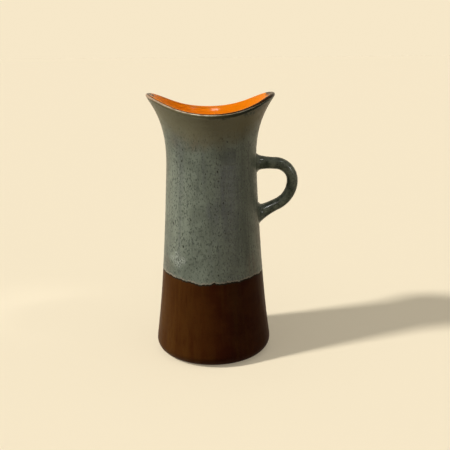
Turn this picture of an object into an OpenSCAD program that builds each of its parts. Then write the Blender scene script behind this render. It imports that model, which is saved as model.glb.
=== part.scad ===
// Stoneware jug: a tall tapered body with a saddle-shaped mouth and one side handle.
// Millimetres, +Z up. The origin is the middle of the foot, on the table.
// The handle points along +X, and the two raised tips of the mouth lie along X.

/* [Body] */
// Height from the table to the two tips of the mouth
jug_h = 290; // [280:1:310]
// Radius of the wall just above the foot
foot_r = 65.2; // [60:0.1:72]
// Height of the upright band at the foot
foot_band_h = 14.5; // [13.5:0.5:20]
// Radius of the rounding between the wall and the foot
foot_round = 13; // [8:0.5:13]
// How much narrower the waist, the narrowest place of the wall, is than the foot
waist_in = 16; // [11:0.1:18]
// Distance from the tips of the mouth down to the waist
waist_drop = 70; // [62:1:78]
// Extra widening just above the foot, over the even taper of the wall
foot_bell = 3.7; // [0:0.1:6]
// How much wider than the foot the flared wall gets at the full height
mouth_out = 5.6; // [2:0.1:11]

/* [Wall and floor] */
// Thickness of the clay wall at the foot
wall_foot_t = 7; // [5:0.1:9]
// Thickness of the clay wall at the lip
wall_lip_t = 4.4; // [3.6:0.1:6]
// Thickness of the clay floor
floor_t = 8; // [5:0.5:12]
// Radius of the inside corner between the floor and the wall
floor_corner_r = 14; // [8:0.5:20]
// Width of the ring of clay that stands on the table
foot_ring_w = 7; // [4:0.5:10]
// Depth of the hollow turned inside the foot ring
foot_recess = 3; // [1:0.5:5]

/* [Mouth] */
// Distance from the tips of the mouth down to the low front and back of its lip
mouth_dip = 18; // [10:0.5:24]
// Depth of the dark band below the rounded edge of the lip
lip_band = 1.5; // [1:0.1:4]

/* [Glaze] */
// Thickness of each coat of glaze
glaze_t = 0.6; // [0.4:0.05:0.9]
// Height where the slate coat meets the brown coat
glaze_line_z = 95; // [60:1:130]
// Height of the bare clay left under the brown coat
bare_foot_h = 1.5; // [1:0.5:4]
// Gap between the lip's coat and the coats under it
glaze_seam = 0.05; // [0.02:0.01:0.1]

/* [Handle] */
// Distance from the waist out to the outermost point of the handle's centre line
handle_reach = 40.3; // [36:0.1:48]
// Distance from the tips of the mouth down to the outermost point of the centre line
handle_drop = 96.2; // [92:0.1:104]
// Radius of the upper bend of the centre line
bend_r = 20; // [17:0.5:24]
// Radius of the lower bend of the centre line
palm_r = 29; // [25:0.5:34]
// Fall of the upper arm from the wall to the bend, in degrees
arm_fall = 3; // [1:0.5:8]
// Slope of the lower arm, in degrees
lower_slope = 26; // [20:1:35]
// Thickness of the handle, measured in the plane of its loop
handle_t = 12.6; // [10:0.1:15]
// Width of the handle, measured across its loop
handle_w = 15.5; // [12:0.1:20]
// Swelling of the handle all round where its upper end meets the wall
upper_swell = 2.3; // [1:0.1:5]
// Swelling of the handle all round where its lower end meets the wall
lower_swell = 3.1; // [1:0.1:5]
// Length over which each swelling fades
swell_run = 19; // [12:0.5:26]
// Thickness of the slip that joins the handle's ends to the wall
slip_t = 1; // [0.5:0.1:1.5]

/* [Hidden] */

// Smoothness of round shapes and numbers of steps along the curves
$fn = 180;
mouth_steps = 96;
lip_facets = 5;
foot_steps = 5;
band_steps = 8;
taper_steps = 12;
flare_steps = 14;
corner_steps = 8;
handle_sides = 24;
arm_steps = 6;
bend_steps = 12;

// Powers that shape the taper, the bell above the foot and the flare of the mouth
taper_power = 1.2;
bell_power = 4;
flare_power = 2.46;
// Shares of the lip's rise that follow the second, fourth and sixth power of the way to a tip
lip_rise_shares = [0.9, 0.7, -0.6];

// Overrun of every cutting shape
cut_over = 2;

// Derived sizes of the body
waist_r = foot_r - waist_in;
waist_z = jug_h - waist_drop;
mouth_r = foot_r + mouth_out;
taper_len = waist_z - foot_band_h;
flare_len = waist_drop;
foot_spread = waist_in - foot_bell;
mouth_spread = mouth_r - waist_r;
top_z = jug_h + cut_over;
floor_z = foot_recess + floor_t;
corner_z = floor_z + floor_corner_r;
foot_contact_r = foot_r - foot_round - glaze_t;
bare_angle = acos(1 - bare_foot_h / foot_round);

// Radius of the finished outside at a height
function foot_arc_r(z) = foot_r - foot_round + sqrt(pow(foot_round, 2) - pow(foot_round - z, 2));
function taper_share(z) = (waist_z - z) / taper_len;
function taper_r(z) = waist_r + foot_spread * pow(taper_share(z), taper_power)
    + foot_bell * pow(taper_share(z), bell_power);
function flare_share(z) = (z - waist_z) / flare_len;
function flare_r(z) = waist_r + mouth_spread * pow(flare_share(z), flare_power);
function outer_r(z) = z < foot_round ? foot_arc_r(z)
    : z < foot_band_h ? foot_r
    : z < waist_z ? taper_r(z) : flare_r(z);

// Thickness of the wall at a height, and the radii that follow from it
function wall_t(z) = wall_foot_t + (wall_lip_t - wall_foot_t) * z / jug_h;
function full_t(z) = wall_t(z) + 2 * glaze_t;
function clay_r(z) = outer_r(z) - glaze_t;
function clay_in_r(z) = clay_r(z) - wall_t(z);

// Heights of the rings of the body's outline, shared by the clay and its coats
function steps(lo, hi, n) = [for (i = [0 : n - 1]) lo + (hi - lo) * i / n];
function foot_heights(a0, a1) = [for (a = steps(a0, a1, foot_steps)) foot_round * (1 - cos(a))];
bare_heights = foot_heights(0, bare_angle);
brown_heights = concat(foot_heights(bare_angle, 90), [foot_round],
    steps(foot_band_h, glaze_line_z, band_steps));
slate_heights = concat(steps(glaze_line_z, waist_z, taper_steps),
    steps(waist_z, top_z, flare_steps), [top_z]);
outer_heights = concat(bare_heights, brown_heights, slate_heights);
inner_heights = concat(steps(corner_z, waist_z, taper_steps),
    steps(waist_z, top_z, flare_steps), [top_z]);

// Outlines as lists of radius and height
function reversed(list) = [for (i = [len(list) - 1 : -1 : 0]) list[i]];
function clay_line(heights) = [for (z = heights) [clay_r(z), z]];
function coat_line(heights) = [for (z = heights) [outer_r(z), z]];
function corner_line(in) = [for (i = [0 : corner_steps - 1])
    let (a = 90 * i / corner_steps, r = floor_corner_r - in)
    [clay_in_r(corner_z) - floor_corner_r + r * sin(a), corner_z - r * cos(a)]];
function inner_line(in) = concat(corner_line(in),
    [for (z = inner_heights) [clay_in_r(z) - in, z]]);

// Lip: one cross-section at each step round the mouth, in the plane through the jug's axis.
// Its middle point lies half a wall below the crest, and its own axes run out of the wall and up it.
function rise_share(u) = lip_rise_shares[0] * pow(u, 2) + lip_rise_shares[1] * pow(u, 4)
    + lip_rise_shares[2] * pow(u, 6);
function crest_z(u) = jug_h - mouth_dip * (1 - rise_share(u));
function crest_r(z) = outer_r(z) - full_t(z) / 2;
function lean(z) = atan(mouth_spread * flare_power / flare_len * pow(flare_share(z), flare_power - 1));
function lip_half(z) = full_t(z) / 2 * cos(lean(z));
function lip_point(z, out, up) =
    let (a = lean(z), h = lip_half(z))
    [crest_r(z) + out * cos(a) + (up - h) * sin(a), z - out * sin(a) + (up - h) * cos(a)];
function lip_arc(z, r) = [for (i = [0 : lip_facets])
    let (a = 180 * i / lip_facets) lip_point(z, r * cos(a), r * sin(a))];

// Sections of the four shapes that follow the lip
far_r = outer_r(top_z) + cut_over;
core_r = waist_r / 2;
function closed_above(pts) = concat([[far_r, pts[0][1]]], pts,
    [[core_r, pts[len(pts) - 1][1]], [core_r, top_z + cut_over], [far_r, top_z + cut_over]]);
function stretched(a, b) = a + (a - b) / norm(a - b) * cut_over;
function over_clay_section(z) =
    let (arc = lip_arc(z, lip_half(z) - glaze_t * cos(lean(z))), n = lip_facets)
    closed_above(concat([stretched(arc[0], arc[1])], [for (i = [1 : n - 1]) arc[i]],
        [stretched(arc[n], arc[n - 1])]));
function over_coats_section(z) =
    let (w = lip_half(z) + cut_over)
    closed_above([lip_point(z, w, -lip_band), lip_point(z, -w, -lip_band)]);
function lip_cap_section(z) =
    let (h = lip_half(z), low = glaze_seam - lip_band,
         outer_z = lip_point(z, h, low)[1], inner_z = lip_point(z, -h, low)[1],
         inner_r = clay_in_r(inner_z) - glaze_t)
    concat([[inner_r, inner_z]], reversed(lip_arc(z, h)), [[outer_r(outer_z), outer_z]]);

// A step round the mouth: the direction from the axis, and the crest's height
function mouth_step(i) =
    let (a = 360 * i / mouth_steps, u = sin(a), z = crest_z(u), r = crest_r(z),
         x = crest_r(jug_h) * u, y = sqrt(max(0, pow(r, 2) - pow(x, 2))))
    [x / r, (cos(a) < 0 ? -1 : 1) * y / r, z];
mouth = [for (i = [0 : mouth_steps - 1]) mouth_step(i)];
function stood(section, m) = [for (p = section) [p[0] * m[0], p[0] * m[1], p[1]]];

// Faces of rings of points, each joined to the next
function ring_faces(rings, count, loop) = [
    for (i = [0 : rings - (loop ? 1 : 2)], j = [0 : count - 1])
        let (a = i * count, b = (i + 1) % rings * count, k = (j + 1) % count)
        each [[a + j, b + k, b + j], [a + j, a + k, b + k]]];
module ring_solid(rings) {
    count = len(rings[0]);
    polyhedron([for (r = rings) each r], ring_faces(len(rings), count, true));
}
module swept_solid(rings) {
    n = len(rings);
    count = len(rings[0]);
    polyhedron([for (r = rings) each r],
        concat(ring_faces(n, count, false),
            [[for (j = [count - 1 : -1 : 0]) j]],
            [[for (j = [0 : count - 1]) (n - 1) * count + j]]));
}

// Handle: places along the centre line, as distance out, height and the angle of the outer side
start_x = clay_in_r(waist_z) + cut_over / 2;
handle_z = jug_h - handle_drop;
far_x = waist_r + handle_reach;
bend_x = far_x - bend_r;
palm_x = far_x - palm_r;
arm_end = [bend_x + bend_r * sin(arm_fall), handle_z + bend_r * cos(arm_fall)];
palm_turn = 90 - lower_slope;
palm_end = [palm_x + palm_r * cos(palm_turn), handle_z - palm_r * sin(palm_turn)];
upper_path = concat(
    [for (x = steps(start_x, arm_end[0], arm_steps))
        [x, arm_end[1] + (arm_end[0] - x) * tan(arm_fall), arm_fall]],
    [for (a = steps(arm_fall, 90, bend_steps))
        [bend_x + bend_r * sin(a), handle_z + bend_r * cos(a), a]],
    [[far_x, handle_z, 90]]);
lower_path = concat(
    [[far_x, handle_z, 90]],
    [for (i = [1 : bend_steps - 1])
        let (a = palm_turn * i / bend_steps)
        [palm_x + palm_r * cos(a), handle_z - palm_r * sin(a), 90 + a]],
    [for (i = [0 : arm_steps])
        let (x = palm_end[0] + (start_x - palm_end[0]) * i / arm_steps)
        [x, palm_end[1] - (palm_end[0] - x) * tan(lower_slope), 90 + palm_turn]]);
whole_path = concat(upper_path, [for (i = [1 : len(lower_path) - 1]) lower_path[i]]);

// A swelling at each end, as a function of the distance from the wall
function swell(p) =
    let (share = max(0, 1 - max(0, p[0] - outer_r(p[1])) / swell_run))
    (p[1] > handle_z ? upper_swell : lower_swell) * pow(share, 2);
function handle_ring(p, in) = [for (j = [0 : handle_sides - 1])
    let (a = 360 * j / handle_sides,
         out = (handle_t / 2 - in + swell(p)) * cos(a),
         side = (handle_w / 2 - in + swell(p)) * sin(a))
    [p[0] + out * sin(p[2]), side, p[1] + out * cos(p[2])]];
module handle_sweep(path, in) {
    swept_solid([for (p = path) handle_ring(p, in)]);
}

// Solid of the body's outside under the glaze, grown by a fit
module body_envelope(grow) {
    rotate_extrude()
        polygon(concat([[0, 0]], [for (p = clay_line(outer_heights)) p + [grow, 0]], [[0, top_z]]));
}

// Shape of the thrown clay, with its rounded lip
module clay_shape() {
    difference() {
        rotate_extrude()
            polygon(concat([[0, foot_recess], [foot_contact_r - foot_ring_w, foot_recess],
                            [foot_contact_r - foot_ring_w, 0]],
                clay_line(outer_heights), reversed(inner_line(0)), [[0, floor_z]]));
        ring_solid([for (m = mouth) stood(over_clay_section(m[2]), m)]);
    }
}

// Everything above the line where the lip's coat begins
module over_coats() {
    ring_solid([for (m = mouth) stood(over_coats_section(m[2]), m)]);
}

// Thrown body: wall, floor and foot ring in one piece
module clay_body() {
    color("#9a7a5c") clay_shape();
}

// Pulled loop of clay, cut to sit on the slip
module handle() {
    color("#8a6a4e") difference() {
        handle_sweep(whole_path, glaze_t);
        body_envelope(slip_t);
    }
}

// Slip between one end of the handle and the wall
module slip_joint(path) {
    color("#6e5440") intersection() {
        handle_sweep(path, glaze_t);
        rotate_extrude()
            polygon(concat(clay_line(slate_heights),
                reversed([for (p = clay_line(slate_heights)) p + [slip_t, 0]])));
    }
}
module upper_slip_joint() {
    slip_joint(upper_path);
}
module lower_slip_joint() {
    slip_joint(lower_path);
}

// Orange coat on the whole inside, up to the lip
module liner_glaze() {
    color("#e0701a") difference() {
        rotate_extrude()
            polygon(concat([[0, floor_z]], inner_line(0), reversed(inner_line(glaze_t)),
                [[0, floor_z + glaze_t]]));
        over_coats();
    }
}

// Slate coat on the outside, from the glaze line to the lip, open where the handle joins
module slate_glaze() {
    color("#5f6a66") difference() {
        rotate_extrude()
            polygon(concat(coat_line(slate_heights), reversed(clay_line(slate_heights))));
        over_coats();
        handle_sweep(upper_path, 0);
        handle_sweep(lower_path, 0);
    }
}

// Dark brown coat on the outside, from just above the table to the glaze line
module brown_glaze() {
    heights = concat(brown_heights, [glaze_line_z]);
    color("#33190f") rotate_extrude()
        polygon(concat(coat_line(heights), reversed(clay_line(heights))));
}

// Slate coat round the handle
module handle_glaze() {
    color("#4d5653") difference() {
        handle_sweep(whole_path, 0);
        handle_sweep(whole_path, glaze_t);
        body_envelope(0);
    }
}

// Dark coat that wraps the lip
module rim_glaze() {
    color("#2b2016") difference() {
        ring_solid([for (m = mouth) stood(lip_cap_section(m[2]), m)]);
        clay_shape();
    }
}

clay_body();
handle();
upper_slip_joint();
lower_slip_joint();
liner_glaze();
slate_glaze();
brown_glaze();
handle_glaze();
rim_glaze();
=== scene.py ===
import bpy
import numpy as np
from mathutils import Matrix, Vector


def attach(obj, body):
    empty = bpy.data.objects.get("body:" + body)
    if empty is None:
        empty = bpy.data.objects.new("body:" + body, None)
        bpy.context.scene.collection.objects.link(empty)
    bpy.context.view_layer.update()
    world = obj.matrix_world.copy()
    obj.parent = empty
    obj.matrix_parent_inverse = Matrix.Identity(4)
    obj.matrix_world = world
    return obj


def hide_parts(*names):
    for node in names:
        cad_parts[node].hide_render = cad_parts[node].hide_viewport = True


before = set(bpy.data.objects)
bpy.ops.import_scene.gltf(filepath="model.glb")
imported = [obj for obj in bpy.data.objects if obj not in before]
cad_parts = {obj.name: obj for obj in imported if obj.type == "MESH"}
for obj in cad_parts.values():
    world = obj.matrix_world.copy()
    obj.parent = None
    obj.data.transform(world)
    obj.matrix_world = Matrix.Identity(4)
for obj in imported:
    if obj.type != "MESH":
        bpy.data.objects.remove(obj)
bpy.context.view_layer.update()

# Sizes of the jug in millimetres, with its angles and powers, as in the part's source
JUG_H, FOOT_R, FOOT_BAND_H, FOOT_ROUND = 290.0, 65.2, 14.5, 13.0
WAIST_R, WAIST_Z, FOOT_BELL, MOUTH_R = 49.2, 220.0, 3.7, 70.8
WALL_FOOT_T, WALL_LIP_T, FLOOR_T, FLOOR_CORNER_R = 7.0, 4.4, 8.0, 14.0
FOOT_RING_W, FOOT_RECESS, MOUTH_DIP, LIP_BAND = 7.0, 3.0, 18.0, 1.5
GLAZE_T, GLAZE_LINE_Z, BARE_FOOT_H = 0.6, 95.0, 1.5
REACH_X, HANDLE_Z, BEND_R, PALM_R = 89.5, 193.8, 20.0, 29.0
ARM_FALL, LOWER_SLOPE = np.radians(3.0), np.radians(26.0)
HANDLE_T, HANDLE_W, UPPER_SWELL, LOWER_SWELL, SWELL_RUN = 12.6, 15.5, 2.3, 3.1, 19.0
TAPER_POWER, BELL_POWER, FLARE_POWER = 1.2, 4.0, 2.46
LIP_RISE = (0.9, 0.7, -0.6)
TAPER_LEN = WAIST_Z - FOOT_BAND_H
FLARE_LEN = JUG_H - WAIST_Z
FLOOR_Z = FOOT_RECESS + FLOOR_T
CORNER_Z = FLOOR_Z + FLOOR_CORNER_R
CONTACT_R = FOOT_R - FOOT_ROUND - GLAZE_T

# A millimetre in metres
MM = 0.001

# Fine shape of the thrown and glazed surfaces, in millimetres. SKIN keeps a coat inside its solid,
# COAT_BACK is the depth of a coat's hidden back, and LAP and SINK take a coat under the lip's coat.
SKIN, COAT_BACK, LAP, SINK = 0.03, 0.55, 0.9, 0.3
BAND_SOFT, BAND_FAR = 0.18, 30.0
RING_DEPTH, RING_PITCH = 0.03, 7.3
# Rings of throwing: each one's size, waves per pitch, waves round the jug, and phase
RINGS = ((1, 1, 1, 0), (0.5, 2.3, 2, 1.3), (1, 0.11, 3, 0.7))
EDGE_R, EDGE_SWELL, EDGE_SWELL_RUN = 0.6, 0.14, 3.0
LIP_SLACK, LIP_DROP = 0.20, 0.08
FINE_COLUMNS, PLAIN_COLUMNS = 480, 288


# Outline of the thrown body
def outer_r(z):
    """Radius of the finished outside, on the coats."""
    z = np.asarray(z, float)
    foot = FOOT_R - FOOT_ROUND + np.sqrt(np.clip(FOOT_ROUND**2 - (FOOT_ROUND - z) ** 2, 0, None))
    share = np.clip((WAIST_Z - z) / TAPER_LEN, 0, None)
    taper = (WAIST_R + (FOOT_R - WAIST_R - FOOT_BELL) * share**TAPER_POWER
             + FOOT_BELL * share**BELL_POWER)
    rise = np.clip((z - WAIST_Z) / FLARE_LEN, 0, None)
    flare = WAIST_R + (MOUTH_R - WAIST_R) * rise**FLARE_POWER
    past_band = np.clip(taper - FOOT_R, -BAND_FAR, BAND_FAR) / BAND_SOFT
    soft = -BAND_SOFT * np.log(np.exp(-past_band) + 1)
    return np.where(z < WAIST_Z, soft + np.where(z < FOOT_ROUND, foot, FOOT_R), flare)


def full_t(z):
    """Thickness of the wall with its two coats."""
    return WALL_FOOT_T + (WALL_LIP_T - WALL_FOOT_T) * np.asarray(z, float) / JUG_H + 2 * GLAZE_T


def inner_r(z):
    """Radius of the finished inside, on the liner's coat."""
    return outer_r(z) - full_t(z)


CORNER_R = inner_r(CORNER_Z) + GLAZE_T - FLOOR_CORNER_R


def thrown(z, azimuth):
    """Shallow rings that the potter's fingers leave, as a change of radius."""
    turn = 2 * np.pi * np.asarray(z) / RING_PITCH
    return RING_DEPTH * sum(size * np.sin(up * turn + around * azimuth + phase)
                            for size, up, around, phase in RINGS)


def smooth(x):
    x = np.clip(x, 0, 1)
    return x * x * (3 - 2 * x)


def rolled(share):
    """1 at the end of a rolled edge, falling to 0 along a quarter of a circle."""
    return 1 - np.sqrt(1 - (1 - np.clip(share, 0, 1)) ** 2)


def rows(*parts):
    """Shares from 0 to 1, from pieces given as start, end and number of steps."""
    steps = [np.linspace(start, end, count, endpoint=False) for start, end, count in parts]
    return np.concatenate(steps + [[parts[-1][1]]])


# Lip
def crest_z(u):
    share = LIP_RISE[0] * u**2 + LIP_RISE[1] * u**4 + LIP_RISE[2] * u**6
    return JUG_H - MOUTH_DIP * (1 - share)


def crest_r(z):
    return outer_r(z) - full_t(z) / 2


def mouth_columns(count):
    """Azimuth and crest height at each section of the wall, both as arrays of one column."""
    t = 2 * np.pi * np.arange(count)[:, None] / count
    u = np.sin(t)
    z = crest_z(u)
    r = crest_r(z)
    x = crest_r(JUG_H) * u
    y = np.sqrt(np.clip(r**2 - x**2, 0, None)) * np.where(np.cos(t) < 0, -1, 1)
    return np.arctan2(y, x), z


def lip_lean(z):
    rise = np.clip((z - WAIST_Z) / FLARE_LEN, 0, None)
    return np.arctan((MOUTH_R - WAIST_R) * FLARE_POWER / FLARE_LEN * rise ** (FLARE_POWER - 1))


def lip_half(z):
    return full_t(z) / 2 * np.cos(lip_lean(z)) - LIP_SLACK


def lip_point(z, out, up):
    """Radius and height of a point given along the axes of the lip, whose crest is at z."""
    a = lip_lean(z)
    along = up - lip_half(z)
    return (crest_r(z) + out * np.cos(a) + along * np.sin(a),
            z - LIP_DROP - out * np.sin(a) + along * np.cos(a))


def band_z(z, side):
    """Height where the lip's coat begins, outside (side 1) or inside (side -1)."""
    return lip_point(z, side * lip_half(z), -LIP_BAND)[1]


# Edge where the slate coat ends on the brown one: centre and half width in degrees, rise in mm
LINE_WAVES = ((-158, 30, 2.6), (-103, 11, -2.2), (-84, 6, -1.2), (-90, 2.2, 1.7),
              (-66, 8, -0.6), (-37, 9, 0.8), (-25, 7, -0.5), (15, 14, 1.3), (58, 16, -1.6),
              (92, 8, 1.4), (124, 12, -1.1))
# Its ragged part: waves round the jug with a random phase and size, smaller where they are more
LINE_RAGGED, LINE_SEED = 0.30, 7
RAGGED_WAVES, RAGGED_LEAST, RAGGED_FADE = (23, 41, 67, 95, 131, 157, 181, 211), 0.5, 0.25


def away(azimuth, centre):
    """How far this azimuth, in radians, lies past a centre in degrees: -180 to 180 degrees."""
    return (np.degrees(azimuth) - centre + 180) % 360 - 180


def glaze_line(azimuth):
    z = np.full_like(azimuth, GLAZE_LINE_Z)
    for centre, width, rise in LINE_WAVES:
        z += rise * np.exp(-((away(azimuth, centre) / width) ** 2))
    rng = np.random.default_rng(LINE_SEED)
    for waves in RAGGED_WAVES:
        phase, size = rng.uniform(0, 2 * np.pi), rng.uniform(RAGGED_LEAST, 1.0)
        size *= LINE_RAGGED * (RAGGED_WAVES[0] / waves) ** RAGGED_FADE
        z += size * np.sin(waves * azimuth + phase)
    return z


# Meshes
def new_piece(name, verts, faces, node_names, material, data=None):
    """A closed mesh in metres, with smooth faces and its values per point."""
    verts = np.asarray(verts, float)
    mesh = bpy.data.meshes.new(name)
    mesh.from_pydata((verts * MM).tolist(), [], outward(verts, faces))
    mesh.polygons.foreach_set("use_smooth", [True] * len(mesh.polygons))
    for key, values in (data or {}).items():
        layer = mesh.attributes.new(key, "FLOAT", "POINT")
        layer.data.foreach_set("value", np.asarray(values, np.float32).ravel())
    mesh.update()
    piece = bpy.data.objects.new(name, mesh)
    bpy.context.scene.collection.objects.link(piece)
    mesh.materials.append(material)
    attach(piece, "root")
    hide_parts(*node_names)


def outward(verts, faces):
    """The faces turned so that the closed shape's normals point out of it."""
    tris = np.array([(f[0], f[k], f[k + 1]) for f in faces for k in range(1, len(f) - 1)])
    a, b, c = (verts[tris[:, k]] for k in range(3))
    volume = np.einsum("ij,ij->", a, np.cross(b, c))
    return faces if volume > 0 else [f[::-1] for f in faces]


def turned(azimuth, r, z, poles=False):
    """Points and faces of closed sections round the axis. With poles they end on the axis."""
    count, length = r.shape
    verts = np.stack([r * np.cos(azimuth), r * np.sin(azimuth), z], 2).reshape(-1, 3)
    i, j = np.meshgrid(np.arange(count), np.arange(length - int(poles)), indexing="ij")
    i, j = i.ravel(), j.ravel()
    k, n = (i + 1) % count, (j + 1) % length
    faces = np.stack([i * length + j, k * length + j, k * length + n, i * length + n], 1).tolist()
    if poles:
        first = len(verts)
        ends = [[0, 0, z[:, 0].mean()], [0, 0, z[:, -1].mean()]]
        verts = np.vstack([verts, ends])
        for a in range(count):
            b = (a + 1) % count
            faces.append([first, b * length, a * length])
            faces.append([first + 1, a * length + length - 1, b * length + length - 1])
    return verts, faces


def with_back(r, z, stride, depth, least):
    """A coat's section closed by a back with fewer points, at least this far under its surface."""
    back_z = z[:, ::-stride]
    back_r = np.minimum(outer_r(back_z) - depth, r[:, ::-stride] - least)
    return np.hstack([r, back_r]), np.hstack([z, back_z])


def with_ends(values, end):
    """Values per point, with one more for each of the two points that close the mesh."""
    return np.append(values.ravel(), [end, end])


# Node materials
class Paint:
    """Short ways to write a node material. Its tone is the colour laid so far."""

    NOISE_ROUGH, CHOICE_SOFT = 0.55, 0.02
    # Sockets of a Mix node for colours: the share and the two colours, and the result
    MIX_INPUTS, MIX_OUTPUT = (0, 6, 7), 2

    def __init__(self, name):
        self.material = bpy.data.materials.new(name)
        self.material.use_nodes = True
        self.tree = self.material.node_tree
        self.shader = self.tree.nodes["Principled BSDF"]
        self.place = self.node("ShaderNodeTexCoord").outputs["Object"]
        self.tone = None

    def node(self, kind, inputs=None, **settings):
        made = self.tree.nodes.new(kind)
        for key, value in settings.items():
            setattr(made, key, value)
        for key, value in (inputs or {}).items():
            self.put(made.inputs[key], value)
        return made

    def put(self, socket, value):
        if isinstance(value, bpy.types.NodeSocket):
            self.tree.links.new(value, socket)
        else:
            socket.default_value = value

    def drawn(self, share):
        """The place on the object, for textures drawn out upwards: a small share is a long draw."""
        return self.node("ShaderNodeMapping", {"Vector": self.place, "Scale": (1, 1, share)}
                         ).outputs["Vector"]

    def noise(self, size, place=None, detail=3):
        """Noise whose features are about size millimetres wide."""
        return self.node("ShaderNodeTexNoise",
                         {"Vector": place or self.place, "Scale": 1 / (size * MM),
                          "Detail": detail, "Roughness": self.NOISE_ROUGH}).outputs["Fac"]

    def cells(self, size, place=None, feature="F1"):
        return self.node("ShaderNodeTexVoronoi",
                         {"Vector": place or self.place, "Scale": 1 / (size * MM)},
                         feature=feature)

    def value(self, name):
        """A value that the mesh carries at its points."""
        return self.node("ShaderNodeAttribute", attribute_name=name).outputs["Fac"]

    def math(self, operation, *values, clamp=False):
        made = self.node("ShaderNodeMath", operation=operation, use_clamp=clamp)
        for index, value in enumerate(values):
            self.put(made.inputs[index], value)
        return made.outputs[0]

    def times(self, a, b):
        return self.math("MULTIPLY", a, b)

    def total(self, *terms):
        """The sum of values, each given with its weight."""
        value, weight = terms[0]
        whole = self.times(value, weight)
        for value, weight in terms[1:]:
            whole = self.math("ADD", whole, self.times(value, weight))
        return whole

    def frayed(self, value, size, reach, detail=3):
        """The value with an uneven edge: noise adds up to reach to it."""
        return self.math("ADD", value, self.times(self.noise(size, detail=detail), reach))

    def swing(self, size, reach):
        """Noise that goes half of reach to each side of 0."""
        return self.times(self.math("SUBTRACT", self.noise(size), 0.5), reach)

    def step(self, value, low, high, start=0.0, end=1.0):
        """A soft step from start at low to end at high."""
        return self.node("ShaderNodeMapRange",
                         {"Value": value, "From Min": low, "From Max": high,
                          "To Min": start, "To Max": end},
                         interpolation_type="SMOOTHSTEP").outputs["Result"]

    def patches(self, size, low, high, start=0.0, end=1.0, place=None, detail=3):
        """Patches of about size millimetres: start where the noise is below low, end above high."""
        return self.step(self.noise(size, place, detail), low, high, start, end)

    def specks(self, size, radius, spread, amount, place=None, soft=0.05):
        """Round spots in a share of the cells, each with its own size."""
        cells = self.cells(size, place)
        parts = self.node("ShaderNodeSeparateColor", {"Color": cells.outputs["Color"]}).outputs
        reach = self.math("MULTIPLY_ADD", parts[1], spread, radius)
        edge = self.math("SUBTRACT", reach, cells.outputs["Distance"])
        few = 1 - amount
        chosen = self.step(parts[0], few - self.CHOICE_SOFT, few + self.CHOICE_SOFT)
        return self.times(self.step(edge, -soft, soft), chosen)

    def mix(self, share, a, b):
        """Colour a where share is 0, and b where it is 1."""
        made = self.node("ShaderNodeMix", data_type="RGBA")
        for index, value in zip(self.MIX_INPUTS, (share, a, b)):
            if isinstance(value, tuple):
                value = (*value, 1.0)
            self.put(made.inputs[index], value)
        return made.outputs[self.MIX_OUTPUT]

    def lay(self, colour, share):
        """Lays a colour over the tone, as far as share says."""
        self.tone = self.mix(share, self.tone, colour)

    def finish(self, roughness, height=None, depth=0.1, **uniform):
        """Links tone, roughness and bump. depth is the bump's real height in millimetres."""
        self.put(self.shader.inputs["Base Color"], self.tone)
        self.put(self.shader.inputs["Roughness"], roughness)
        if height is not None:
            bump = self.node("ShaderNodeBump", {"Height": height, "Distance": depth * MM,
                                                "Strength": 1.0})
            self.put(self.shader.inputs["Normal"], bump.outputs["Normal"])
        for key, value in uniform.items():
            self.shader.inputs[key.replace("_", " ")].default_value = value
        return self.material


# Colours as linear red, green and blue
SLATE_PALE = (0.150, 0.170, 0.130)
SLATE_MID = (0.108, 0.123, 0.093)
SLATE_DARK = (0.050, 0.058, 0.047)
SLATE_SPECK = (0.014, 0.016, 0.011)
SLATE_BLUE = (0.082, 0.088, 0.088)
SLATE_GREEN = (0.058, 0.073, 0.050)
SLATE_OLIVE = (0.145, 0.130, 0.074)
SLATE_UMBER = (0.092, 0.070, 0.016)
# Dark brown of a painted reflection
SLATE_REFLECTED_BROWN = (0.070, 0.028, 0.005)
SLATE_LIGHT = (0.205, 0.226, 0.172)
SLATE_WARM = (0.115, 0.092, 0.062)
SLATE_CRAWL = (0.340, 0.360, 0.310)
SLATE_EDGE = (0.330, 0.265, 0.200)
BROWN_WARM = (0.052, 0.019, 0.003)
BROWN_SHEEN = (0.070, 0.027, 0.005)
BROWN_MID = (0.042, 0.011, 0.002)
BROWN_DARK = (0.028, 0.005, 0.001)
ORANGE_LEFT = (0.940, 0.250, 0.003)
ORANGE_RIGHT = (0.625, 0.164, 0.001)
ORANGE_DEEP = (0.600, 0.105, 0.002)
RIM_DARK = (0.030, 0.010, 0.002)
# Dark green of painted shade under the lip
RIM_SHADE_GREEN = (0.012, 0.018, 0.010)
RIM_GREY = (0.380, 0.360, 0.230)
RIM_PINK = (0.330, 0.210, 0.130)
RIM_HIGHLIGHT = (0.780, 0.690, 0.500)
CLAY_PALE = (0.340, 0.220, 0.130)
CLAY_MID = (0.260, 0.160, 0.090)
CLAY_DARK = (0.120, 0.065, 0.035)
SLIP_DARK = (0.060, 0.0325, 0.0175)

# Zones of the slate coat: the value at its points, its colour and its greatest share
# Pale zone: partly painted light on the left. Blue: partly painted reflection. Dark: partly painted
# shade.
SLATE_ZONES = (("pale", SLATE_LIGHT, 0.8), ("blue", SLATE_BLUE, 0.8),
               ("dark", SLATE_GREEN, 0.75), ("warm", SLATE_WARM, 0.65))


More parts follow.
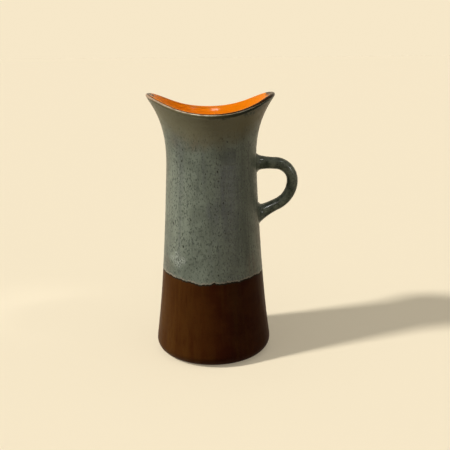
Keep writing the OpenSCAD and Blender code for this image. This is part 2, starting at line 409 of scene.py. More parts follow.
def slate_glaze():
    """Mottled slate with streaks, specks, an olive neck, and a pale and broken lower edge."""
    p = Paint("slate_glaze")
    drawn, flecked = p.drawn(0.07), p.drawn(0.6)
    below, dark = p.value("below_lip"), p.value("dark")
    p.tone = p.mix(p.patches(16, 0.38, 0.66, detail=4), SLATE_MID, SLATE_PALE)
    streak = p.patches(6, 0.36, 0.60, 0.35, 1.0, drawn)
    # Zones partly painted: light in the pale one, reflection in the blue one, shade in the dark one
    for name, colour, most in SLATE_ZONES:
        p.lay(colour, p.times(p.value(name), p.times(streak, most)))
    p.lay(SLATE_BLUE, p.patches(11, 0.52, 0.70, 0, 0.40, drawn))
    # Dark streaks, strongest in the dark zone, which is partly painted shade
    p.lay(SLATE_DARK, p.times(p.patches(2.6, 0.46, 0.64, 0, 0.75, p.drawn(0.04)), dark))
    p.lay(SLATE_DARK, p.patches(4.0, 0.50, 0.70, 0, 0.30, drawn))
    p.lay(SLATE_DARK, p.patches(1.7, 0.50, 0.65, 0, 0.90, flecked, 4))
    p.lay(SLATE_PALE, p.patches(1.4, 0.55, 0.68, 0, 0.60, p.drawn(0.7), 4))
    neck = p.frayed(below, 12, 22.0)
    p.lay(p.mix(p.value("umber"), SLATE_OLIVE, SLATE_UMBER), p.step(neck, 24, 50, 0.84, 0))
    # Painted reflection: dark brown on the flare's underside near the right tip
    p.lay(SLATE_REFLECTED_BROWN, p.times(p.value("brown_reflection"), p.times(streak, 0.9)))
    small = p.times(p.specks(2.3, 0.08, 0.24, 0.55, flecked), p.patches(14, 0.38, 0.62, 0.30, 0.95))
    large = p.specks(6.0, 0.05, 0.12, 0.35, flecked, 0.03)
    spots = p.times(p.math("MAXIMUM", small, large), p.step(neck, 24, 44, 0.20, 1))
    p.lay(SLATE_SPECK, spots)
    veins = p.cells(2.4, p.drawn(0.75), "DISTANCE_TO_EDGE").outputs["Distance"]
    crawl = p.times(p.step(veins, 0.03, 0.12, 1, 0), p.value("crawl"))
    p.lay(SLATE_CRAWL, p.times(crawl, 0.8))
    edge = p.step(p.frayed(p.value("above_line"), 3, 2.2, 2), 1.4, 3.8, 1, 0)
    p.lay(SLATE_EDGE, p.times(edge, p.patches(4, 0.36, 0.58, 0.20, 0.70)))
    # Painted shade under the lip's roll: dark green in patches, and in a band along the right side
    lip_shade = p.times(p.value("lip_shade"), p.patches(3, 0.38, 0.60, 0.10, 0.9))
    thin = p.times(p.step(p.frayed(below, 4, 2.0, 2), 1.4, 3.0, 0.6, 0), p.value("right"))
    p.lay(RIM_SHADE_GREEN, p.math("MAXIMUM", thin, lip_shade))
    rough = p.total((p.patches(5, 0.3, 0.7, 0.36, 0.50), 1), (spots, -0.12))
    grain = p.total((p.noise(1.1), 0.5), (p.noise(5, drawn, 2), 0.6), (spots, -0.7), (crawl, -0.8))
    return p.finish(rough, grain, 0.10, Specular_IOR_Level=0.26)


def handle_slate():
    """The same slate where it ran thicker: glossier, with fewer and larger marks."""
    p = Paint("handle_slate")
    flecked = p.drawn(0.8)
    p.tone = p.mix(p.patches(9, 0.32, 0.66, detail=4), SLATE_GREEN, SLATE_LIGHT)
    p.lay(SLATE_BLUE, p.patches(4, 0.50, 0.70, 0, 0.6))
    p.lay(SLATE_SPECK, p.patches(1.4, 0.50, 0.72, 0, 0.35))
    spots = p.math("MAXIMUM", p.specks(2.4, 0.05, 0.20, 0.40, flecked),
                   p.specks(6.0, 0.05, 0.12, 0.35, flecked, 0.03))
    p.lay(SLATE_SPECK, p.times(spots, 0.85))
    p.lay(SLATE_MID, p.step(p.frayed(p.value("from_wall"), 3, 3.0, 2), 0.6, 4.5, 0.8, 0))
    rough = p.patches(6, 0.35, 0.65, 0.13, 0.22)
    grain = p.total((p.noise(3.5), 0.8), (spots, -0.5))
    return p.finish(rough, grain, 0.02, Specular_IOR_Level=0.10)


def brown_glaze():
    """Dark chocolate in drawn streaks, with painted sheen and reflection in two broad places, and a
    painted shadow just under the slate coat's edge.
    """
    p = Paint("brown_glaze")
    drawn = p.drawn(0.05)
    p.tone = p.mix(p.patches(22, 0.35, 0.68, detail=4), BROWN_MID, BROWN_DARK)
    p.lay(BROWN_WARM, p.patches(10, 0.44, 0.72, 0, 0.5, drawn))
    # Painted sheen and reflection: olive on the left and at the right edge
    p.lay(BROWN_SHEEN, p.times(p.value("warm"), p.patches(9, 0.30, 0.66, 0.45, 1, drawn)))
    p.lay(BROWN_DARK, p.patches(2.2, 0.55, 0.75, 0, 0.4, drawn, 2))
    # Painted shadow: a dark line just under the slate coat's edge
    p.lay(SLATE_SPECK, p.step(p.value("under_line"), 0.5, 2.2, 0.85, 0))
    p.lay(BROWN_DARK, p.times(p.specks(3.5, 0.04, 0.13, 0.30, None, 0.03), 0.6))
    rough = p.patches(4, 0.3, 0.7, 0.34, 0.46, drawn)
    grain = p.total((p.noise(4, drawn), 0.6), (p.noise(1.2), 0.4))
    return p.finish(rough, grain, 0.08, Specular_IOR_Level=0.02)


def orange_glaze():
    """Glossy orange, deeper near the lip and dark at its two tips. Brighter to the left: painted
    light on the side of the mouth that lies in shade.
    """
    p = Paint("orange_glaze")
    # Painted light: the orange is brighter to the left, where the inner wall lies in shade
    left = p.math("ADD", p.value("left"), p.swing(18, 0.5), clamp=True)
    p.tone = p.mix(left, ORANGE_RIGHT, ORANGE_LEFT)
    p.lay(ORANGE_DEEP, p.patches(3, 0.55, 0.75, 0, 0.25, p.drawn(0.2)))
    p.lay(ORANGE_DEEP, p.step(p.frayed(p.value("below_lip"), 3, 1.5, 2), 0.8, 2.0, 0.35, 0))
    p.lay(RIM_DARK, p.step(p.value("near_tip"), 0.35, 0.9, 0, 0.85))
    p.lay(ORANGE_DEEP, p.times(p.specks(3.0, 0.03, 0.12, 0.22, None, 0.03), 0.5))
    rough = p.patches(5, 0.3, 0.7, 0.12, 0.20, detail=2)
    return p.finish(rough, p.noise(4), 0.02, Specular_IOR_Level=0.05)


def rim_glaze():
    """Bands along the lip: green, pale, dark, and orange inside, with uneven edges. The green
    outside is painted shade on the right side; white over the pale band is a painted highlight.
    """
    p = Paint("rim_glaze")
    right = p.value("right")
    across = p.math("ADD", p.value("across"), p.swing(5, 14.0))
    # Painted highlight: white over the pale band, as far as the white share says
    white = p.times(p.value("white"), p.patches(7, 0.42, 0.58, 0.15, 1, detail=2))
    pale = p.mix(white, p.mix(right, RIM_PINK, RIM_GREY), RIM_HIGHLIGHT)
    outer = p.math("SUBTRACT", p.math("ADD", across, p.swing(2.2, 22.0)), p.value("pale_from"))
    # Outside the pale band: olive, and on the right side dark green as painted shade
    p.tone = p.mix(p.step(outer, -6, 6), p.mix(right, SLATE_OLIVE, RIM_SHADE_GREEN), pale)
    for colour, start, soft in ((RIM_DARK, "dark_from", 4), (ORANGE_RIGHT, "orange_from", 6)):
        p.lay(colour, p.step(p.math("SUBTRACT", across, p.value(start)), -soft, soft))
    p.lay(RIM_DARK, p.patches(1.6, 0.58, 0.76, 0, 0.35))
    rough = p.patches(4, 0.3, 0.7, 0.18, 0.30, detail=2)
    return p.finish(rough, p.noise(3), 0.04, Specular_IOR_Level=0.05)


def bare_clay(name, pale, mid, dark):
    """Gritty fired clay without glaze."""
    p = Paint(name)
    p.tone = p.mix(p.patches(12, 0.35, 0.65, detail=4), mid, pale)
    p.lay(dark, p.patches(0.8, 0.50, 0.72, 0, 0.6, detail=4))
    spots = p.specks(2.2, 0.04, 0.16, 0.35, None, 0.04)
    p.lay(dark, p.times(spots, 0.8))
    rough = p.patches(3, 0.3, 0.7, 0.78, 0.92)
    grain = p.total((p.noise(0.7, detail=4), 1), (p.noise(3), 1), (spots, -1))
    return p.finish(rough, grain, 0.12)


# Sections round the jug, and the values that its coats share. The right side is the handle's.
RIGHT_FROM, RIGHT_RUN = -0.4, 1.2
azimuth, top = mouth_columns(FINE_COLUMNS)
line = glaze_line(azimuth)
right_side = smooth((np.cos(azimuth) - RIGHT_FROM) / RIGHT_RUN)
plain_azimuth, plain_top = mouth_columns(PLAIN_COLUMNS)
ones = np.ones_like(plain_azimuth)


def zone(spots, z, soft):
    """1 inside soft oval patches of the wall, each given as azimuth, height, half width in degrees
    and half height in millimetres."""
    value = np.zeros_like(z)
    for centre, height, wide, tall in spots:
        reach = np.hypot(away(azimuth, centre) / wide, (z - height) / tall)
        value = np.maximum(value, smooth((1 + soft - reach) / (2 * soft)))
    return value


# Patches of the slate coat, and how softly they end
SPOTS = {
    "crawl": ((-142, 117, 6, 3), (-135, 113, 6, 4), (-128, 117, 5, 4), (-137, 122, 3, 4),
              (70, 124, 9, 6), (150, 232, 8, 5)),
    # Pale patches of glaze; the two on the left are also painted light on the lit side
    "pale": ((-140, 175, 22, 52), (-141, 128, 15, 18), (60, 160, 25, 50), (130, 205, 24, 30),
             (-5, 232, 14, 14)),
    # Blue patches of glaze; the first two, in front, are a painted reflection
    "blue": ((-75, 186, 10, 40), (-88, 172, 9, 12), (100, 150, 14, 40), (170, 190, 12, 34),
             (25, 130, 10, 26)),
    # Dark streaky patches; the first four, on the right front, are partly painted shade
    "dark": ((-46, 202, 19, 36), (-53, 142, 12, 34), (-64, 228, 20, 7), (-52, 257, 7, 14),
             (35, 190, 16, 40), (150, 140, 20, 30)),
    "warm": ((-12, 135, 17, 32), (-42, 106, 9, 16), (-158, 108, 14, 9), (85, 112, 18, 14),
             (-120, 244, 26, 10), (-178, 220, 18, 30)),
    "umber": ((-40, 250, 24, 24), (-12, 258, 20, 20), (120, 252, 24, 14)),
    # Painted reflection of dark brown on the flare's underside
    "brown_reflection": ((-30, 281, 15, 10), (-19, 270, 11, 9)),
    # Painted shade under the lip's roll
    "lip_shade": ((-104, 270.3, 3, 1.5), (-90, 269.0, 9, 1.8), (-78, 268.6, 6, 2.2),
               (-53, 272, 6, 3.5), (-46, 274, 5, 4.5), (-38, 278, 6, 4), (-29, 283, 6, 6),
               (60, 276, 9, 3), (112, 271, 12, 2))}
SPOTS_SOFT, PLAIN_SOFT = {"umber": 1.0, "brown_reflection": 0.8}, 0.5
# Rows of points up the coat, closer at its edges, each part given as start, end and steps; drop of
# the rolled edge; and the back's stride, depth and least depth
SLATE_ROWS = ((0, 0.004, 6), (0.004, 0.02, 5), (0.02, 0.985, 150), (0.985, 1, 6))
SLATE_EDGE_DROP, SLATE_BACK = 0.5, (10, COAT_BACK, 0.05)


def slate_coat():
    """From a rolled edge on the brown coat to under the lip's coat."""
    end = band_z(top, 1) + LAP
    z = line + (end - line) * rows(*SLATE_ROWS)
    above = z - line
    lift = EDGE_SWELL * np.exp(-above / EDGE_SWELL_RUN) - SLATE_EDGE_DROP * rolled(above / EDGE_R)
    lift = lift - SINK * smooth((z - end + LAP) / LAP)
    r, z = with_back(outer_r(z) - SKIN + thrown(z, azimuth) + lift, z, *SLATE_BACK)
    values = {name: zone(spots, z, SPOTS_SOFT.get(name, PLAIN_SOFT))
              for name, spots in SPOTS.items()}
    values.update(below_lip=end - z, above_line=z - line,
                  right=np.broadcast_to(right_side, z.shape))
    verts, faces = turned(azimuth, r, z)
    new_piece("slate_coat", verts, faces, ["slate_glaze"], slate_glaze(), values)


# The brown coat's painted sheen and reflection, and how far it goes up under the slate coat and
# sinks there
BROWN_SHEEN_SPOTS, BROWN_SOFT = ((-150, 50, 36, 90), (24, 50, 34, 90)), 1.0
UNDER, UNDER_SINK, UNDER_RUN = 3.0, 0.4, 1.5
BROWN_ROWS = ((0, 0.02, 5), (0.02, 0.16, 22), (0.16, 0.94, 60), (0.94, 1, 8))
BROWN_EDGE_DROP, BROWN_BACK = 0.45, (6, COAT_BACK + SKIN, 0.04)


def brown_coat():
    """From above the bare foot to under the slate coat."""
    z = BARE_FOOT_H + (line + UNDER - BARE_FOOT_H) * rows(*BROWN_ROWS)
    drop = (UNDER_SINK * smooth((z - line) / UNDER_RUN)
            + BROWN_EDGE_DROP * rolled((z - BARE_FOOT_H) / EDGE_R))
    r, z = with_back(outer_r(z) - SKIN + thrown(z, azimuth) - drop, z, *BROWN_BACK)
    verts, faces = turned(azimuth, r, z)
    new_piece("brown_coat", verts, faces, ["brown_glaze"], brown_glaze(),
              {"warm": zone(BROWN_SHEEN_SPOTS, z, BROWN_SOFT), "under_line": line - z})


# Bands of colour along the lip. Each begins at an angle across the lip, 0 on the outside and 180 on
# the inside, which is given for these azimuths round the mouth; white is the share of a painted
# highlight.
BANDS_AT = (-180, -166, -152, -130, -105, -80, -60, -40, -20, 0, 30, 90, 150, 168)
LIP_BANDS = {"pale_from": (-20, 0, 30, 42, 44, 46, 42, 36, 30, 90, 50, 30, 20, -10),
             "dark_from": (96, 92, 80, 74, 66, 56, 52, 46, 34, 10, 60, 56, 70, 90),
             "orange_from": (270, 130, 96, 94, 92, 98, 102, 112, 160, 290, 90, 66, 84, 150),
             "white": (0.1, 0.1, 0.15, 0.3, 1.0, 0.5, 0.7, 0.4, 0.1, 0, 0.5, 0.5, 0.5, 0.1)}
# Steps across the lip, its uneven width as size, waves and phase, and the shape of its two legs
LIP_STEPS, LEG_STEPS, BACK_STEPS = 28, 6, 8
LIP_WAVES = ((0.015, 5, 1), (0.01, 11, 0))
LEG_LOW, LEG_PROUD, LEG_DROP, LEG_ROLL, LEG_TURN = 0.5, 0.02, 0.28, 0.3, 40
LEG_END_T, LEG_END_RISE, LEG_GAP = 0.25, 0.3, 2


def rim_coat():
    """A rolled cap on the lip, whose two legs go down onto the slate coat and the liner."""
    widest = lip_half(top)
    uneven = sum(size * np.sin(waves * azimuth + phase) for size, waves, phase in LIP_WAVES)
    half = np.minimum(widest * (1 + uneven), widest)
    arc = np.radians(np.linspace(0, 180, LIP_STEPS + 1))
    arc_r, arc_z = lip_point(top, half * np.cos(arc), half * np.sin(arc))
    leg = np.linspace(0, 1, LEG_STEPS, endpoint=False)
    low_out, low_in = band_z(top, 1) - LEG_LOW, band_z(top, -1) - LEG_LOW
    out_z = low_out + (arc_z[:, :1] - low_out) * leg
    in_z = low_in + (arc_z[:, -1:] - low_in) * leg
    out_gap = arc_r[:, :1] - outer_r(arc_z[:, :1]) + SKIN
    in_gap = arc_r[:, -1:] - inner_r(arc_z[:, -1:])
    proud = LEG_PROUD - LEG_DROP * rolled(leg / LEG_ROLL)
    out_r = outer_r(out_z) - SKIN + out_gap * smooth(leg) + proud
    in_r = inner_r(in_z) + in_gap * smooth(leg) - proud
    arc_back = np.radians(np.linspace(180, 0, BACK_STEPS + 1))
    thin = half - COAT_BACK
    back_r, back_z = lip_point(top, thin * np.cos(arc_back), thin * np.sin(arc_back))
    r = np.hstack([out_r, arc_r, in_r[:, ::-1], in_r[:, :1] + LEG_END_T, back_r,
                   out_r[:, :1] - LEG_END_T])
    z = np.hstack([out_z, arc_z, in_z[:, ::-1], in_z[:, :1] + LEG_END_RISE, back_z,
                   out_z[:, :1] + LEG_END_RISE])
    leg_across = np.linspace(LEG_TURN, LEG_GAP, LEG_STEPS)
    across = np.hstack([-leg_across, np.degrees(arc), 180 + leg_across[::-1], [180 + LEG_TURN],
                        np.degrees(arc_back), [-LEG_TURN]])
    values = {name: np.interp(np.degrees(azimuth), BANDS_AT, angles, period=360)
              for name, angles in LIP_BANDS.items()}
    values.update(across=across, right=right_side)
    verts, faces = turned(azimuth, r, z)
    new_piece("rim_coat", verts, faces, ["rim_glaze"], rim_glaze(),
              {name: np.broadcast_to(value, r.shape) for name, value in values.items()})


# Liner: its rings are stronger than those outside, and its floor is crowned and starts near the
# axis. Tips are the two high places of the lip, as shares of the way out from the middle.
LINER_IN, LINER_RINGS, LINER_BACK, LINER_STRIDE = 0.02, 1.6, 0.5, 8
LINER_ROUND, FLOOR_CROWN, CROWN_SHARE, FLOOR_START = FLOOR_CORNER_R - GLAZE_T, 0.5, 1.2, 0.03
TIP_SHARES, TIP_DEPTH, FAR_BELOW, LEFT_SLOPE = (0.93, 0.99), 7.0, 250.0, 0.7
LINER_ROWS, FLOOR_STEPS, BEND_STEPS = ((0, 0.97, 120), (0.97, 1, 8)), 12, 14
BACK_FLAT = (0.9, 0.5, FLOOR_START)


def liner_coat():
    """The orange coat on the floor, its round corner and the inner wall."""
    end = band_z(plain_top, -1) + LAP
    wall_z = CORNER_Z + (end - CORNER_Z) * rows(*LINER_ROWS)
    wall_r = (inner_r(wall_z) + LINER_IN + LINER_RINGS * thrown(wall_z, plain_azimuth)
              + SINK * smooth((wall_z - end + LAP) / LAP))
    flat = np.linspace(FLOOR_START, 1, FLOOR_STEPS, endpoint=False)
    floor_z = FLOOR_Z + GLAZE_T + FLOOR_CROWN * (1 - smooth(flat * CROWN_SHARE))
    bend = np.radians(np.linspace(0, 90, BEND_STEPS, endpoint=False))
    back_z = wall_z[:, ::-LINER_STRIDE]
    back_bend, back_round, back_flat = bend[::-2], LINER_ROUND + LINER_BACK, np.array(BACK_FLAT)
    back_floor_z = FLOOR_Z + GLAZE_T - LINER_BACK
    r = np.hstack([ones * CORNER_R * flat, ones * (CORNER_R + LINER_ROUND * np.sin(bend)), wall_r,
                   inner_r(back_z) + LINER_BACK, ones * (CORNER_R + back_round * np.sin(back_bend)),
                   ones * CORNER_R * back_flat])
    z = np.hstack([ones * floor_z, ones * (CORNER_Z - LINER_ROUND * np.cos(bend)), wall_z,
                   back_z, ones * (CORNER_Z - back_round * np.cos(back_bend)),
                   ones * back_floor_z * np.ones_like(back_flat)])
    below = end - z
    tip = smooth((np.abs(np.cos(plain_azimuth)) - TIP_SHARES[0]) / (TIP_SHARES[1] - TIP_SHARES[0]))
    tip = tip * smooth(1 - below / TIP_DEPTH)
    # Share of the brighter orange to the left, painted light for the shaded side of the mouth
    left = np.broadcast_to(smooth(0.5 - LEFT_SLOPE * np.cos(plain_azimuth)), r.shape)
    verts, faces = turned(plain_azimuth, r, z, poles=True)
    new_piece("liner_coat", verts, faces, ["liner_glaze"], orange_glaze(),
              {"below_lip": with_ends(below, FAR_BELOW), "near_tip": with_ends(tip, 0),
               "left": with_ends(left, 0.5)})


# Clay: the hollow's rounding and turning marks, the foot ring's edge, and how far the clay keeps
# under the lip's coats. Above LOW_Z it follows the lip. Its bare ring has closer, weaker rings.
AXIS_R, HOLLOW_ROUND, HOLLOW_MARK, HOLLOW_PITCH, HOLLOW_CALM = 0.5, 2.2, 0.12, 3.4, 6.0
RING_EDGE, RING_FLAT, CLAY_BACK, LOW_Z, TABLE_GAP = 0.8, 1.4, 0.05, 262.0, 0.01
BARE_CLOSER, BARE_SHARE = 3.0, 0.6
# Points along each part of the clay's section, and where the two round corners start, in degrees
QUARTER_POINTS, HOLLOW_POINTS, RING_POINTS, FOOT_POINTS, WALL_POINTS = 7, 40, 6, 18, 60
CAP_POINTS, LIP_POINTS, DOWN_POINTS, CORNER_POINTS = 9, 14, 30, 9
FOOT_FROM, CORNER_FROM = 4, 80


def thrown_clay(clay):
    """The jug's clay: bare at the foot ring and its hollow, and under the coats elsewhere."""
    ring_in = CONTACT_R - FOOT_RING_W
    quarter = np.radians(np.linspace(0, 90, QUARTER_POINTS))
    flat = np.linspace(AXIS_R, ring_in - HOLLOW_ROUND, HOLLOW_POINTS, endpoint=False)
    marks = 1 + np.sin(flat * 2 * np.pi / HOLLOW_PITCH)
    marks = HOLLOW_MARK * marks * smooth(flat / HOLLOW_CALM)
    side = np.radians(np.linspace(FOOT_FROM, 90, FOOT_POINTS))
    side_z = np.concatenate([FOOT_ROUND * (1 - np.cos(side)),
                             np.linspace(FOOT_ROUND + 1, LOW_Z, WALL_POINTS)])
    foot_r = np.concatenate([
        flat, ring_in - HOLLOW_ROUND * (1 - np.sin(quarter)),
        ring_in + RING_EDGE * (1 - np.cos(quarter)),
        np.linspace(ring_in + RING_FLAT, CONTACT_R, RING_POINTS), outer_r(side_z) - GLAZE_T])
    foot_z = np.concatenate([
        FOOT_RECESS - marks, FOOT_RECESS - HOLLOW_ROUND * (1 - np.cos(quarter)),
        RING_EDGE * (1 - np.sin(quarter)), np.zeros(RING_POINTS), side_z])
    bare = np.where((foot_z < TABLE_GAP) | (foot_z > BARE_FOOT_H), 0, BARE_SHARE)
    foot_r = foot_r + bare * thrown(foot_z * BARE_CLOSER, plain_azimuth)
    core = lip_half(plain_top) - GLAZE_T - CLAY_BACK
    arc = np.radians(np.linspace(0, 180, CAP_POINTS))
    cap_r, cap_z = lip_point(plain_top, core * np.cos(arc), core * np.sin(arc))
    rise = np.linspace(0, 1, LIP_POINTS)[1:-1]
    rise_z = LOW_Z + (cap_z[:, :1] - LOW_Z) * rise
    fall_z = LOW_Z + (cap_z[:, -1:] - LOW_Z) * rise[::-1]
    down_z = np.linspace(LOW_Z, CORNER_Z, DOWN_POINTS)
    corner = np.radians(np.linspace(CORNER_FROM, 0, CORNER_POINTS))
    end_r = np.concatenate([inner_r(down_z) + GLAZE_T, CORNER_R + FLOOR_CORNER_R * np.sin(corner),
                            [CORNER_R / 2, AXIS_R]])
    end_z = np.concatenate([down_z, CORNER_Z - FLOOR_CORNER_R * np.cos(corner), [FLOOR_Z, FLOOR_Z]])
    r = np.hstack([foot_r, outer_r(rise_z) - GLAZE_T - CLAY_BACK, cap_r,
                   inner_r(fall_z) + GLAZE_T + CLAY_BACK, ones * end_r])
    z = np.hstack([ones * foot_z, rise_z, cap_z, fall_z, ones * end_z])
    verts, faces = turned(plain_azimuth, r, z, poles=True)
    new_piece("thrown_clay", verts, faces, ["clay_body"], clay)


# Handle: lines run along it from wall to wall, each ending just under the wall's surface
SIDES, LENGTHS, PATH_STEP, PATH_IN, END_CROWD = 72, 220, 0.25, 1.0, 1.25
ROOT_DEPTH, HANDLE_SLACK, UNDER_ARM = 0.9, 0.1, 0.5
UPPER_FILLET, LOWER_FILLET, FILLET_RUN, FILLET_POWER = 3.4, 4.4, 6.0, 3.2
FILLET_LESS, FILLET_ROUNDS = 0.55, 30
HANDLE_WAVES = ((0.12, 9, 0.5), (0.08, 23, 2))


def handle_path(step):
    """Places along the middle of the handle and its direction there, from wall to wall."""
    start_x = inner_r(WAIST_Z) + GLAZE_T + PATH_IN
    bend_x, palm_x = REACH_X - BEND_R, REACH_X - PALM_R
    arm_x, arm_z = bend_x + BEND_R * np.sin(ARM_FALL), HANDLE_Z + BEND_R * np.cos(ARM_FALL)
    turn = np.pi / 2 - LOWER_SLOPE
    palm_end = palm_x + PALM_R * np.cos(turn), HANDLE_Z - PALM_R * np.sin(turn)
    x = np.arange(start_x, arm_x, step)
    arm = np.stack([x, arm_z + (arm_x - x) * np.tan(ARM_FALL), np.full_like(x, ARM_FALL)], 1)
    a = np.arange(ARM_FALL, np.pi / 2, step / BEND_R)
    bend = np.stack([bend_x + BEND_R * np.sin(a), HANDLE_Z + BEND_R * np.cos(a), a], 1)
    a = np.arange(0, turn, step / PALM_R)
    palm = np.stack([palm_x + PALM_R * np.cos(a), HANDLE_Z - PALM_R * np.sin(a), np.pi / 2 + a], 1)
    x = np.arange(palm_end[0], start_x, -step)
    lower = np.stack([x, palm_end[1] - (palm_end[0] - x) * np.tan(LOWER_SLOPE),
                      np.full_like(x, np.pi / 2 + turn)], 1)
    return np.vstack([arm, bend, palm, lower])


def off_wall(points):
    return np.hypot(points[..., 0], points[..., 1]) - outer_r(points[..., 2])


def handle_points(path, side, extra):
    """Points round each place of the path, with extra millimetres of thickness."""
    x, z, way = (column[:, None] for column in path.T)
    near = np.clip(1 - np.clip(x - outer_r(z), 0, None) / SWELL_RUN, 0, 1)
    swell = np.where(z > HANDLE_Z, UPPER_SWELL, LOWER_SWELL) * near**2
    along = np.linspace(0, 1, len(path))[:, None]
    uneven = sum(size * np.sin(waves * along + phase) for size, waves, phase in HANDLE_WAVES)
    under = UNDER_ARM * smooth((z - HANDLE_Z) / BEND_R) * np.clip(-np.cos(side), 0, 1)
    grow = swell + uneven + under + extra - SKIN - HANDLE_SLACK
    out = (HANDLE_T / 2 + grow) * np.cos(side)
    return np.stack([x + out * np.sin(way), (HANDLE_W / 2 + grow) * np.sin(side),
                     z + out * np.cos(way)], 2)


def handle_coat():
    path = handle_path(PATH_STEP)
    side = 2 * np.pi * np.arange(SIDES) / SIDES
    fillet = np.where(path[:, 1:2] > HANDLE_Z, UPPER_FILLET, LOWER_FILLET)
    fillet = fillet * (1 - FILLET_LESS * np.clip(np.cos(side), 0, 1))
    points = handle_points(path, side, 0.0)
    for _ in range(FILLET_ROUNDS):
        near = np.clip(1 - np.clip(off_wall(points), 0, None) / FILLET_RUN, 0, 1)
        points = handle_points(path, side, fillet * near**FILLET_POWER)
    outside = off_wall(points) > -ROOT_DEPTH
    first = outside.argmax(0)
    last = len(path) - 1 - outside[::-1].argmax(0)
    spread = np.linspace(-1, 1, LENGTHS)
    spread = 0.5 + 0.5 * np.sign(spread) * (1 - (1 - np.abs(spread)) ** END_CROWD)
    at = first + (last - first) * spread[:, None]
    low = np.clip(np.floor(at).astype(int), 0, len(path) - 2)
    part = (at - low)[..., None]
    column = np.arange(SIDES)[None, :]
    grid = points[low, column] * (1 - part) + points[low + 1, column] * part
    verts = np.vstack([grid.reshape(-1, 3), grid[0].mean(0), grid[-1].mean(0)])
    i, j = np.meshgrid(np.arange(LENGTHS - 1), column[0], indexing="ij")
    i, j = i.ravel() * SIDES, j.ravel()
    k = (j + 1) % SIDES
    faces = np.stack([i + j, i + SIDES + j, i + SIDES + k, i + k], 1).tolist()
    end, base = (LENGTHS - 1) * SIDES, LENGTHS * SIDES
    for j in range(SIDES):
        k = (j + 1) % SIDES
        faces += [[base, j, k], [base + 1, end + k, end + j]]
    new_piece("handle_coat", verts, faces, ["handle_glaze"], handle_slate(),
              {"from_wall": with_ends(off_wall(grid), 0)})


stoneware = bare_clay("stoneware", CLAY_PALE, CLAY_MID, CLAY_DARK)
slip = bare_clay("slip", CLAY_MID, CLAY_DARK, SLIP_DARK)
slate_coat()
brown_coat()
rim_coat()
liner_coat()
thrown_clay(stoneware)
handle_coat()

# Carried solids that lie under the coats
for node, paint in (("handle", stoneware), ("upper_slip_joint", slip), ("lower_slip_joint", slip)):
    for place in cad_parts[node].material_slots:
        place.material = paint

# Floor and backdrop in metres: one plain pale disc, whose far edge reaches the horizon
FLOOR_PALE, FLOOR_BOUNCE, FLOOR_ROUGH = (0.860, 0.745, 0.540), (0.300, 0.260, 0.190), 0.9
FLOOR_FIRST, FLOOR_RADIUS, FLOOR_RINGS, FLOOR_SPOKES = 0.4, 400.0, 14, 48
# Share of the pale surface's own colour that stays in the shadow, for the camera and reflections
SHADOW_FLOOR = 0.28

# Light: a soft sun from the left and front, a broad softer one above it, and an even surrounding.
# The share of each is how bright it makes a level white surface, where 1 is plain white.
KEY_AZIMUTH, KEY_ELEVATION, KEY_ANGLE, KEY_SHARE = 196.5, 41.0, 6.0, 0.77
SKY_AZIMUTH, SKY_ELEVATION, SKY_ANGLE, SKY_SHARE = 275.0, 76.0, 80.0, 0.24
AROUND_COLOUR, AROUND_SHARE = (1.0, 0.97, 0.92), 0.10
# Panes that only show as highlights on the glaze: the place each shines on in millimetres, then its
# azimuth, elevation, width and height in metres, and brightness
PANE_FAR = 1.5
HANDLE_TOP, HANDLE_BEND, MOUTH = (76, -7, 216), (87, -7, 206), (0, 0, 270)
PANES = {"high_pane": (HANDLE_TOP, 325, 55, 0.24, 0.26, 30),
         "side_pane": (HANDLE_BEND, 315, 16, 0.24, 0.46, 34),
         "front_pane": (MOUTH, 254, 52, 0.36, 0.26, 72)}
# A weak spot from above on the shaded side of the open mouth, with the width of its cone in degrees
MOUTH_SHADE, SPOT_FAR, SPOT_SOFT = (-45, 25, 275), 0.8, 0.06
SPOT_AZIMUTH, SPOT_ELEVATION, SPOT_ANGLE, SPOT_SHARE = 330.0, 52.0, 9.0, 0.40


def pale_floor():
    ring = np.geomspace(FLOOR_FIRST, FLOOR_RADIUS, FLOOR_RINGS)
    spoke = 2 * np.pi * np.arange(FLOOR_SPOKES) / FLOOR_SPOKES
    verts = [[0, 0, 0]] + [[r * np.cos(a), r * np.sin(a), 0] for r in ring for a in spoke]
    faces = [[0, 1 + k, 1 + (k + 1) % FLOOR_SPOKES] for k in range(FLOOR_SPOKES)]
    for j in range(FLOOR_RINGS - 1):
        inner, outer = 1 + j * FLOOR_SPOKES, 1 + (j + 1) * FLOOR_SPOKES
        for k in range(FLOOR_SPOKES):
            n = (k + 1) % FLOOR_SPOKES
            faces.append([inner + k, outer + k, outer + n, inner + n])
    mesh = bpy.data.meshes.new("floor")
    mesh.from_pydata(verts, [], faces)
    floor = bpy.data.objects.new("floor", mesh)
    bpy.context.scene.collection.objects.link(floor)
    mesh.materials.append(floor_paint())


# The pale surface and the world show their own colour to the camera and in reflections, and give
# the jug less light than that
def seen_rays(tree):
    path = tree.nodes.new("ShaderNodeLightPath")
    value = path.outputs["Is Camera Ray"]
    for name in ("Is Glossy Ray", "Is Transmission Ray"):
        either = tree.nodes.new("ShaderNodeMath")
        either.operation = "MAXIMUM"
        tree.links.new(value, either.inputs[0])
        tree.links.new(path.outputs[name], either.inputs[1])
        value = either.outputs[0]
    return value


def floor_paint():
    p = Paint("floor")
    seen = seen_rays(p.tree)
    p.tone = p.mix(seen, FLOOR_BOUNCE, tuple((1 - SHADOW_FLOOR) * c for c in FLOOR_PALE))
    p.shader.inputs["Emission Color"].default_value = (*FLOOR_PALE, 1)
    p.put(p.shader.inputs["Emission Strength"], p.times(seen, SHADOW_FLOOR))
    p.material.cycles.emission_sampling = "NONE"
    return p.finish(FLOOR_ROUGH, Specular_IOR_Level=0.0)


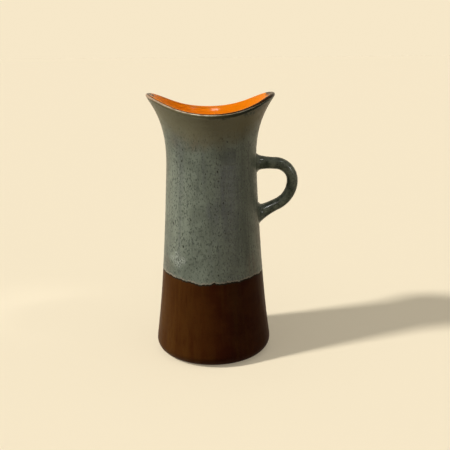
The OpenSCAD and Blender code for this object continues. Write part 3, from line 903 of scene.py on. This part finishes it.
def surrounding():
    world = bpy.data.worlds.new("studio")
    bpy.context.scene.world = world
    world.use_nodes = True
    tree = world.node_tree
    tree.nodes.clear()
    shown = SHADOW_FLOOR + (1 - SHADOW_FLOOR) * (KEY_SHARE + SKY_SHARE + AROUND_SHARE)
    pick = tree.nodes.new("ShaderNodeMixShader")
    tree.links.new(seen_rays(tree), pick.inputs[0])
    for index, colour, strength in ((1, AROUND_COLOUR, AROUND_SHARE), (2, FLOOR_PALE, shown)):
        side = tree.nodes.new("ShaderNodeBackground")
        side.inputs["Color"].default_value = (*colour, 1)
        side.inputs["Strength"].default_value = strength
        tree.links.new(side.outputs[0], pick.inputs[index])
    output = tree.nodes.new("ShaderNodeOutputWorld")
    tree.links.new(pick.outputs[0], output.inputs["Surface"])


def direction(azimuth, elevation):
    a, e = np.radians(azimuth), np.radians(elevation)
    return Vector((np.cos(e) * np.cos(a), np.cos(e) * np.sin(a), np.sin(e)))


def lamp(name, kind, azimuth, elevation, target=(0, 0, JUG_H / 2), far=1.0):
    """A lamp that shines from this direction on a place of the jug."""
    way = direction(azimuth, elevation)
    data = bpy.data.lights.new(name, kind)
    made = bpy.data.objects.new(name, data)
    bpy.context.scene.collection.objects.link(made)
    made.location = Vector(target) * MM + way * far
    made.rotation_mode = "QUATERNION"
    made.rotation_quaternion = way.to_track_quat("Z", "Y")
    return made


def sun(name, azimuth, elevation, angle, share):
    made = lamp(name, "SUN", azimuth, elevation)
    made.visible_glossy = False
    made.data.angle = np.radians(angle)
    made.data.energy = np.pi * share / np.sin(np.radians(elevation))


def pane(name, target, azimuth, elevation, width, height, brightness):
    made = lamp(name, "AREA", azimuth, elevation, target, PANE_FAR)
    made.visible_diffuse = False
    made.data.shape = "RECTANGLE"
    made.data.size, made.data.size_y = width, height
    made.data.energy = np.pi * width * height * brightness


def spot(name, target, azimuth, elevation, angle, share):
    made = lamp(name, "SPOT", azimuth, elevation, target, SPOT_FAR)
    made.visible_glossy = False
    made.data.shadow_soft_size = SPOT_SOFT
    made.data.spot_size, made.data.spot_blend = np.radians(angle), 1.0
    made.data.energy = 4 * np.pi**2 * SPOT_FAR**2 * share


pale_floor()
surrounding()
sun("key", KEY_AZIMUTH, KEY_ELEVATION, KEY_ANGLE, KEY_SHARE)
sun("sky", SKY_AZIMUTH, SKY_ELEVATION, SKY_ANGLE, SKY_SHARE)
spot("mouth", MOUTH_SHADE, SPOT_AZIMUTH, SPOT_ELEVATION, SPOT_ANGLE, SPOT_SHARE)
for name, settings in PANES.items():
    pane(name, *settings)

# Camera at the photograph's viewing angle. Its place is in millimetres, before OBJECT_TURN turns it
# round the jug, and LENS and SENSOR give its field of view.
CAMERA_AT, LENS, SENSOR = (14.357, -706.66, 327.23), 52.0, 36.0
PITCH, ROLL, OBJECT_TURN = np.radians(14.520), np.radians(0.495), np.radians(2.668)
CLIP_NEAR, CLIP_FAR = 0.01, 1000.0


def photo_camera():
    unturn = Matrix.Rotation(-OBJECT_TURN, 3, "Z")
    forward = unturn @ Vector((0, np.cos(PITCH), -np.sin(PITCH)))
    right = unturn @ Vector((1, 0, 0))
    up = right.cross(forward)
    axis_x = right * np.cos(ROLL) - up * np.sin(ROLL)
    axis_y = right * np.sin(ROLL) + up * np.cos(ROLL)
    data = bpy.data.cameras.new("camera")
    data.sensor_width, data.lens = SENSOR, LENS
    data.clip_start, data.clip_end = CLIP_NEAR, CLIP_FAR
    camera = bpy.data.objects.new("camera", data)
    bpy.context.scene.collection.objects.link(camera)
    turn = Matrix((axis_x, axis_y, -forward)).transposed()
    camera.matrix_world = Matrix.Translation(unturn @ Vector(CAMERA_AT) * MM) @ turn.to_4x4()
    return camera


bpy.context.scene.camera = photo_camera()
bpy.context.scene.view_settings.view_transform = "Standard"
